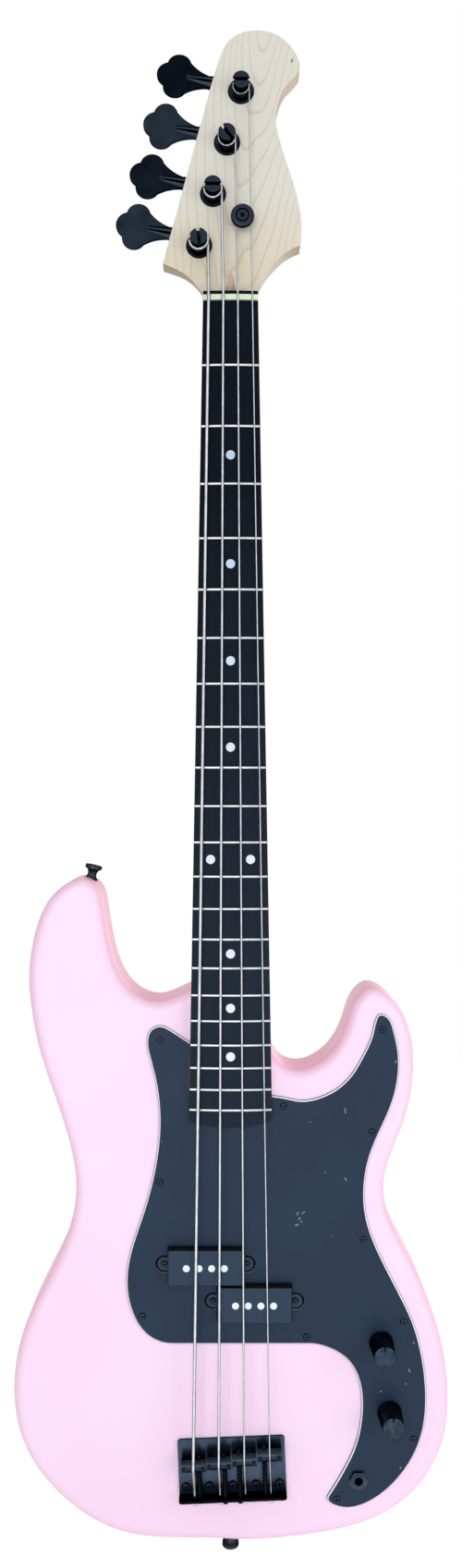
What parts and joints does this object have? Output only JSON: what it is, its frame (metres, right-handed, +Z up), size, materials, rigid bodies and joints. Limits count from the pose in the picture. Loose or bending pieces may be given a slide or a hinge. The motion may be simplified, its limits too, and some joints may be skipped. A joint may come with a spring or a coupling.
{
  "type": "electric bass guitar",
  "caption": "Solid-body electric bass guitar with bolt-on maple neck, split pickup, turning knobs, barrel-saddle bridge and worm-gear tuners, hung by its strap buttons or neck",
  "frame": {"origin": "outer end of the tail strap button, on its axis", "axes": "+Z up along the neck, -Y out of the front, +X to the right as seen from the front"},
  "size_m": [0.332, 0.0722, 1.1641],
  "materials": {
    "body_lacquer": "gloss lacquer",
    "maple": "satin lacquer",
    "board_wood": "satin",
    "fret_metal": "polished",
    "dot_pearl": "polished",
    "nut_plastic": "satin",
    "rod_steel": "plain",
    "black_metal": "gloss",
    "black_screws": "satin",
    "guard_plastic": "gloss with bevelled edge",
    "guard_screw_metal": "satin",
    "cover_plastic": "satin",
    "bobbin_plastic": "plain",
    "pole_steel": "polished",
    "knob_metal": "gloss",
    "can_steel": "plain",
    "nut_metal": "satin",
    "wire_cover": "plain",
    "bridge_metal": "gloss",
    "button_metal": "gloss",
    "tuner_metal": "gloss",
    "spring_steel": "plain",
    "string_steel": "wound",
    "saddle_metal": "gloss",
    "post_metal": "gloss",
    "gear_metal": "satin",
    "key_metal": "gloss"
  },
  "bodies": {
    "instrument": {"body": "body_lacquer", "neck": "maple", "fretboard": "board_wood", "frets": "fret_metal", "position_dots": "dot_pearl", "nut": "nut_plastic", "truss_rod": "rod_steel", "neck_plate": "black_metal", "neck_screws": "black_screws", "pickguard": "guard_plastic", "pickguard_screws": "guard_screw_metal", "pickup_covers": "cover_plastic", "pickup_bobbins": "bobbin_plastic", "pole_pieces": "pole_steel", "pickup_screws": "black_screws", "potentiometers": "can_steel", "control_nuts": "nut_metal", "output_jack": "can_steel", "wiring": "wire_cover", "bridge_plate": "bridge_metal", "bridge_screws": "black_screws", "string_tree": "black_metal", "strap_buttons": "button_metal", "strap_button_screws": "black_screws", "tuner_plates": "tuner_metal", "tuner_ferrules": "tuner_metal", "tuner_screws": "black_screws", "intonation_springs": "spring_steel", "string_E": "string_steel", "string_A": "string_steel", "string_D": "string_steel", "string_G": "string_steel"},
    "truss_nut": {"truss_rod_nut": "rod_steel"},
    "volume": {"volume_knob": "knob_metal"},
    "tone": {"tone_knob": "knob_metal"},
    "key_E": {"tuner_key_E": "key_metal", "worm_E": "gear_metal"},
    "post_E": {"tuner_post_E": "post_metal", "worm_wheel_E": "gear_metal"},
    "saddle_E": {"saddle_E": "saddle_metal"},
    "intonation_E": {"intonation_screw_E": "black_screws"},
    "key_A": {"tuner_key_A": "key_metal", "worm_A": "gear_metal"},
    "post_A": {"tuner_post_A": "post_metal", "worm_wheel_A": "gear_metal"},
    "saddle_A": {"saddle_A": "saddle_metal"},
    "intonation_A": {"intonation_screw_A": "black_screws"},
    "key_D": {"tuner_key_D": "key_metal", "worm_D": "gear_metal"},
    "post_D": {"tuner_post_D": "post_metal", "worm_wheel_D": "gear_metal"},
    "saddle_D": {"saddle_D": "saddle_metal"},
    "intonation_D": {"intonation_screw_D": "black_screws"},
    "key_G": {"tuner_key_G": "key_metal", "worm_G": "gear_metal"},
    "post_G": {"tuner_post_G": "post_metal", "worm_wheel_G": "gear_metal"},
    "saddle_G": {"saddle_G": "saddle_metal"},
    "intonation_G": {"intonation_screw_G": "black_screws"}
  },
  "joints": [
    {"name": "volume_turn", "type": "hinge", "parent": "instrument", "child": "volume", "pos_m": [0.1138, -0.0243, 0.1692], "axis": [0, -1, 0], "range_deg": [-150, 150]},
    {"name": "tone_turn", "type": "hinge", "parent": "instrument", "child": "tone", "pos_m": [0.12, -0.0243, 0.1167], "axis": [0, -1, 0], "range_deg": [-150, 150]},
    {"name": "truss_nut_turn", "type": "hinge", "parent": "instrument", "child": "truss_nut", "pos_m": [0, -0.0189, 0.9446], "axis": [0, 0, 1], "range_deg": [-180, 180]},
    {"name": "key_turn_E", "type": "hinge", "parent": "instrument", "child": "key_E", "pos_m": [-0.02111, 0.0008, 1.01426], "axis": [-0.9799, 0, 0.1994], "continuous": true},
    {"name": "post_turn_E", "type": "hinge", "parent": "instrument", "child": "post_E", "pos_m": [-0.0239, -0.0055, 1.00054], "axis": [0, 1, 0], "continuous": true},
    {"name": "saddle_slide_E", "type": "slide", "parent": "instrument", "child": "saddle_E", "axis": [-0.0401, 0, 0.9992], "range_m": [-0.008, 0.003], "deforming": ["string_E", "intonation_springs"]},
    {"name": "intonation_turn_E", "type": "hinge", "parent": "instrument", "child": "intonation_E", "pos_m": [-0.02276, -0.03024, 0.05414], "axis": [-0.0401, 0, 0.9992], "range_deg": [-1400, 3700]},
    {"name": "key_turn_A", "type": "hinge", "parent": "instrument", "child": "key_A", "pos_m": [-0.01049, 0.0008, 1.05334], "axis": [-0.9799, 0, 0.1994], "continuous": true},
    {"name": "post_turn_A", "type": "hinge", "parent": "instrument", "child": "post_A", "pos_m": [-0.01328, -0.0055, 1.03962], "axis": [0, 1, 0], "continuous": true},
    {"name": "saddle_slide_A", "type": "slide", "parent": "instrument", "child": "saddle_A", "axis": [-0.0401, 0, 0.9992], "range_m": [-0.008, 0.003], "deforming": ["string_A", "intonation_springs"]},
    {"name": "intonation_turn_A", "type": "hinge", "parent": "instrument", "child": "intonation_A", "pos_m": [-0.00367, -0.03176, 0.05491], "axis": [-0.0401, 0, 0.9992], "range_deg": [-1400, 3700]},
    {"name": "key_turn_D", "type": "hinge", "parent": "instrument", "child": "key_D", "pos_m": [0.00013, 0.0008, 1.09242], "axis": [-0.9799, 0, 0.1994], "continuous": true},
    {"name": "post_turn_D", "type": "hinge", "parent": "instrument", "child": "post_D", "pos_m": [-0.00266, -0.0055, 1.07871], "axis": [0, 1, 0], "continuous": true},
    {"name": "saddle_slide_D", "type": "slide", "parent": "instrument", "child": "saddle_D", "axis": [-0.0401, 0, 0.9992], "range_m": [-0.008, 0.003], "deforming": ["string_D", "intonation_springs"]},
    {"name": "intonation_turn_D", "type": "hinge", "parent": "instrument", "child": "intonation_D", "pos_m": [0.00742, -0.03176, 0.05536], "axis": [-0.0401, 0, 0.9992], "range_deg": [-1400, 3700]},
    {"name": "key_turn_G", "type": "hinge", "parent": "instrument", "child": "key_G", "pos_m": [0.01075, 0.0008, 1.13151], "axis": [-0.9799, 0, 0.1994], "continuous": true},
    {"name": "post_turn_G", "type": "hinge", "parent": "instrument", "child": "post_G", "pos_m": [0.00796, -0.0055, 1.11779], "axis": [0, 1, 0], "continuous": true},
    {"name": "saddle_slide_G", "type": "slide", "parent": "instrument", "child": "saddle_G", "axis": [-0.0401, 0, 0.9992], "range_m": [-0.008, 0.003], "deforming": ["string_G", "intonation_springs"]},
    {"name": "intonation_turn_G", "type": "hinge", "parent": "instrument", "child": "intonation_G", "pos_m": [0.0265, -0.03024, 0.05612], "axis": [-0.0401, 0, 0.9992], "range_deg": [-1400, 3700]}
  ],
  "couplings": [
    {"joint": "post_turn_E", "follows": "key_turn_E", "ratio": 0.05},
    {"joint": "intonation_turn_E", "follows": "saddle_slide_E", "rad_per_m": -7913.3},
    {"joint": "post_turn_A", "follows": "key_turn_A", "ratio": 0.05},
    {"joint": "intonation_turn_A", "follows": "saddle_slide_A", "rad_per_m": -7913.3},
    {"joint": "post_turn_D", "follows": "key_turn_D", "ratio": 0.05},
    {"joint": "intonation_turn_D", "follows": "saddle_slide_D", "rad_per_m": -7913.3},
    {"joint": "post_turn_G", "follows": "key_turn_G", "ratio": 0.05},
    {"joint": "intonation_turn_G", "follows": "saddle_slide_G", "rad_per_m": -7913.3}
  ]
}
